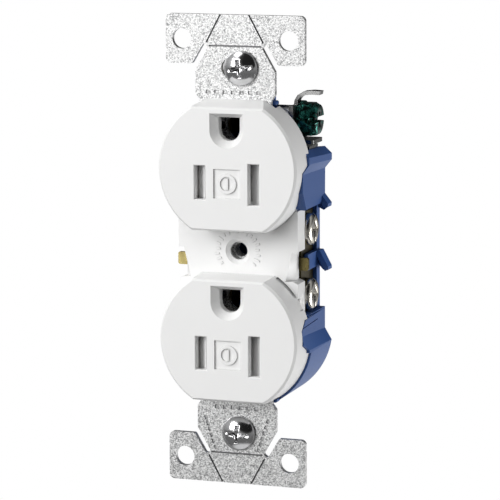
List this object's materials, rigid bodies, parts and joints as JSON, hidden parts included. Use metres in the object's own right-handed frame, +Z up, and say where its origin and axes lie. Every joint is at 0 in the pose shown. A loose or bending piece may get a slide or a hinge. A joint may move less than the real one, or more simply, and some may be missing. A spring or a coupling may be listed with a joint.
{
  "type": "duplex wall outlet",
  "caption": "Flush wall outlet with two grounded, shuttered sockets in one white cover on a break-off-ear steel strap, with side screw and rear push-in wiring.",
  "frame": {"origin": "on the plate-screw axis, midway between the ears, in the plane where the strap's back rests on the wall", "axes": "+X to the right seen from the front, +Y into the wall, +Z up along the strap towards the ground holes' end"},
  "size_m": [0.0348, 0.0238, 0.1072],
  "materials": {
    "galvanised_steel": "galvanised, fine spangle",
    "white_moulding": "satin white moulding",
    "blue_moulding": "satin blue moulding",
    "brass": "rolled brass",
    "dull_bronze": "oxidised bronze strip",
    "brass_screw": "bright brass",
    "nickel_screw": "nickel plated",
    "bright_screw": "bright plated",
    "green_screw": "green passivated",
    "plain_steel": "plain plated steel",
    "grey_shutter": "moulded pale grey",
    "natural_plastic": "moulded natural",
    "retainer_fibre": "pressed fibre washer"
  },
  "bodies": {
    "housing": {"mounting_strap": "galvanised_steel", "front_cover": "white_moulding", "back_body": "blue_moulding", "neutral_contact": "brass", "hot_contact": "brass", "ground_bracket": "plain_steel", "ground_rivets": "plain_steel", "assembly_screws": "plain_steel", "ground_contact_upper": "dull_bronze", "shutter_carrier_upper": "natural_plastic", "shutter_spring_upper": "plain_steel", "wire_clamp_neutral_upper": "plain_steel", "wire_clamp_hot_upper": "plain_steel", "ground_contact_lower": "dull_bronze", "shutter_carrier_lower": "natural_plastic", "shutter_spring_lower": "plain_steel", "wire_clamp_neutral_lower": "plain_steel", "wire_clamp_hot_lower": "plain_steel"},
    "shutter_upper": {"shutter_upper": "grey_shutter"},
    "screw_retainer_upper": {"screw_retainer_upper": "retainer_fibre"},
    "mounting_screw_upper": {"mounting_screw_upper": "bright_screw"},
    "neutral_screw_upper": {"neutral_screw_upper": "nickel_screw"},
    "hot_screw_upper": {"hot_screw_upper": "brass_screw"},
    "shutter_lower": {"shutter_lower": "grey_shutter"},
    "screw_retainer_lower": {"screw_retainer_lower": "retainer_fibre"},
    "mounting_screw_lower": {"mounting_screw_lower": "bright_screw"},
    "neutral_screw_lower": {"neutral_screw_lower": "nickel_screw"},
    "hot_screw_lower": {"hot_screw_lower": "brass_screw"},
    "ground_screw": {"ground_screw": "green_screw"}
  },
  "joints": [
    {"name": "shutter_upper_slide", "type": "slide", "parent": "housing", "child": "shutter_upper", "axis": [1, 0, 0], "range_m": [0, 0.0032], "stiffness_N_per_m": 45, "springref_m": -0.0025, "deforming": ["shutter_spring_upper"]},
    {"name": "mounting_screw_upper_float", "type": "slide", "parent": "housing", "child": "screw_retainer_upper", "axis": [0, -1, 0], "range_m": [0, 0.0023]},
    {"name": "mounting_screw_upper_turn", "type": "hinge", "parent": "screw_retainer_upper", "child": "mounting_screw_upper", "pos_m": [0.0015, 0, 0.04167], "axis": [0, 1, 0], "continuous": true},
    {"name": "neutral_screw_upper_back_out", "type": "slide", "parent": "housing", "child": "neutral_screw_upper", "axis": [1, 0, 0], "range_m": [0, 0.0028]},
    {"name": "hot_screw_upper_back_out", "type": "slide", "parent": "housing", "child": "hot_screw_upper", "axis": [-1, 0, 0], "range_m": [0, 0.0028]},
    {"name": "shutter_lower_slide", "type": "slide", "parent": "housing", "child": "shutter_lower", "axis": [1, 0, 0], "range_m": [0, 0.0032], "stiffness_N_per_m": 45, "springref_m": -0.0025, "deforming": ["shutter_spring_lower"]},
    {"name": "mounting_screw_lower_float", "type": "slide", "parent": "housing", "child": "screw_retainer_lower", "axis": [0, -1, 0], "range_m": [0, 0.0023]},
    {"name": "mounting_screw_lower_turn", "type": "hinge", "parent": "screw_retainer_lower", "child": "mounting_screw_lower", "pos_m": [0.0006, 0, -0.04167], "axis": [0, 1, 0], "continuous": true},
    {"name": "neutral_screw_lower_back_out", "type": "slide", "parent": "housing", "child": "neutral_screw_lower", "axis": [1, 0, 0], "range_m": [0, 0.0028]},
    {"name": "hot_screw_lower_back_out", "type": "slide", "parent": "housing", "child": "hot_screw_lower", "axis": [-1, 0, 0], "range_m": [0, 0.0028]},
    {"name": "ground_screw_back_out", "type": "slide", "parent": "housing", "child": "ground_screw", "axis": [1, 0, 0], "range_m": [0, 0.0025]}
  ]
}
